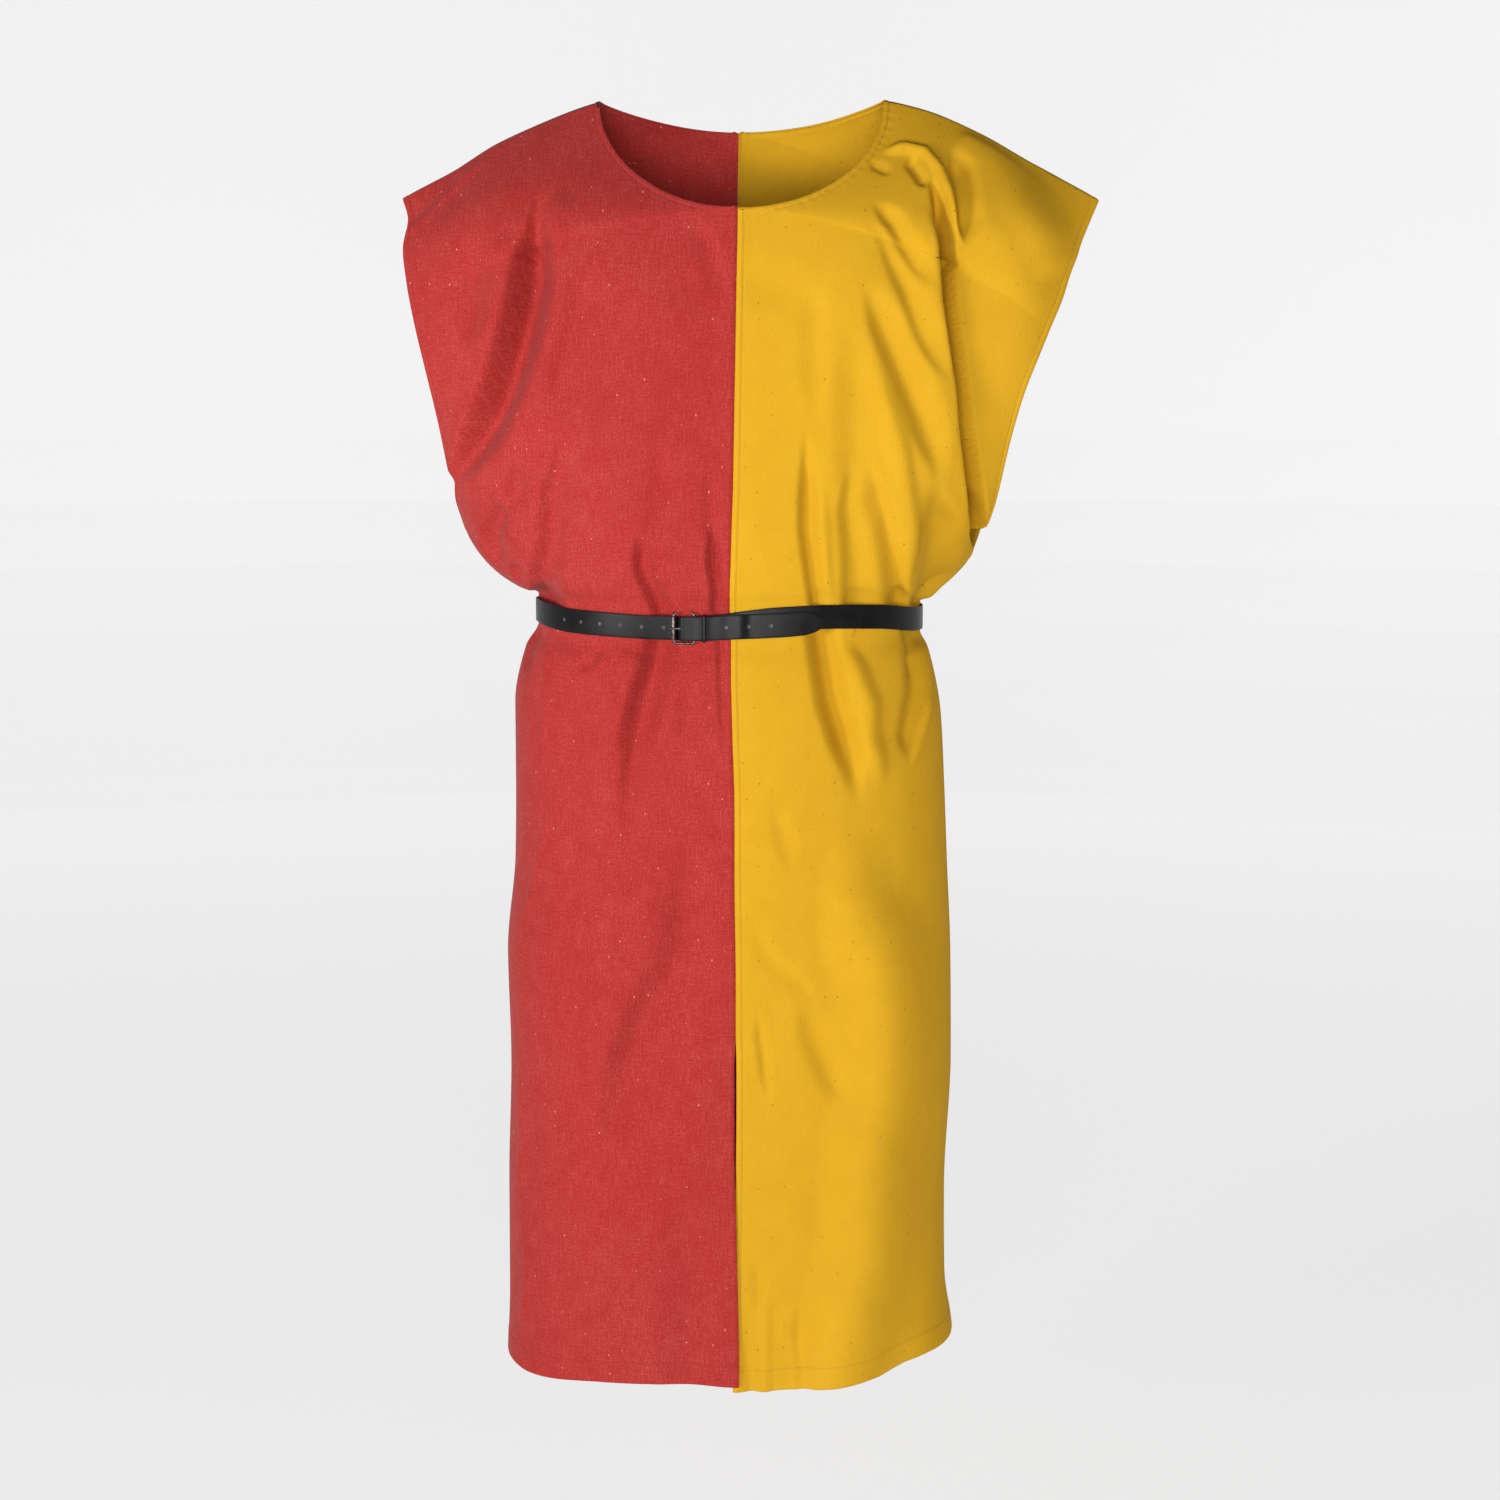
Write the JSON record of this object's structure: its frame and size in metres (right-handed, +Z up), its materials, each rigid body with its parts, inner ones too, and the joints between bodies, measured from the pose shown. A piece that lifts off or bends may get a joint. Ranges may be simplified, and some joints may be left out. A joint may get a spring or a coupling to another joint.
{
  "type": "tabard",
  "caption": "Sleeveless knee-length tabard in two plain colours, worn hollow, gathered at the waist by a narrow buckled leather belt.",
  "frame": {"origin": "midway between the two neck corners at the shoulder line, where the garment rests on the shoulders", "axes": "+X to the wearer's left, +Y to the back, +Z up"},
  "size_m": [0.616, 0.2626, 1.1368],
  "materials": {
    "red_cloth": "matt cotton with a visible weave and a few pale slubs",
    "yellow_cloth": "smooth matt cotton",
    "black_leather": "satin black leather",
    "dark_metal": "dark burnished steel"
  },
  "bodies": {
    "root": {"front_right": "red_cloth", "front_left": "yellow_cloth", "back_right": "red_cloth", "back_left": "yellow_cloth", "belt_strap": "black_leather", "belt_keeper": "black_leather", "buckle_frame": "dark_metal", "buckle_roller": "dark_metal", "buckle_prong": "dark_metal"}
  },
  "joints": []
}
